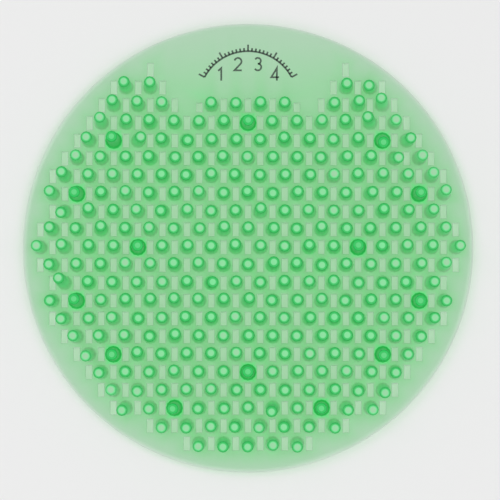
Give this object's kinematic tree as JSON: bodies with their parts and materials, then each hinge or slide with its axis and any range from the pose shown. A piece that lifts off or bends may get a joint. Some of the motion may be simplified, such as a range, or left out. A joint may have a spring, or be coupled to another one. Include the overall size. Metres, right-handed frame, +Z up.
{
  "type": "urinal deodorizer screen",
  "caption": "Round flexible urinal screen with staggered splash pegs, drain slots between them and short feet under the sheet.",
  "frame": {"origin": "centre of the disc, in the plane of the feet's soles", "axes": "+Z up along the pegs, +Y towards the bare stretch at the upper edge, +X to the right seen from above"},
  "size_m": [0.178, 0.178, 0.015],
  "materials": {
    "screen": "satin translucent green scented EVA"
  },
  "bodies": {
    "root": {"screen": "screen"}
  },
  "joints": []
}
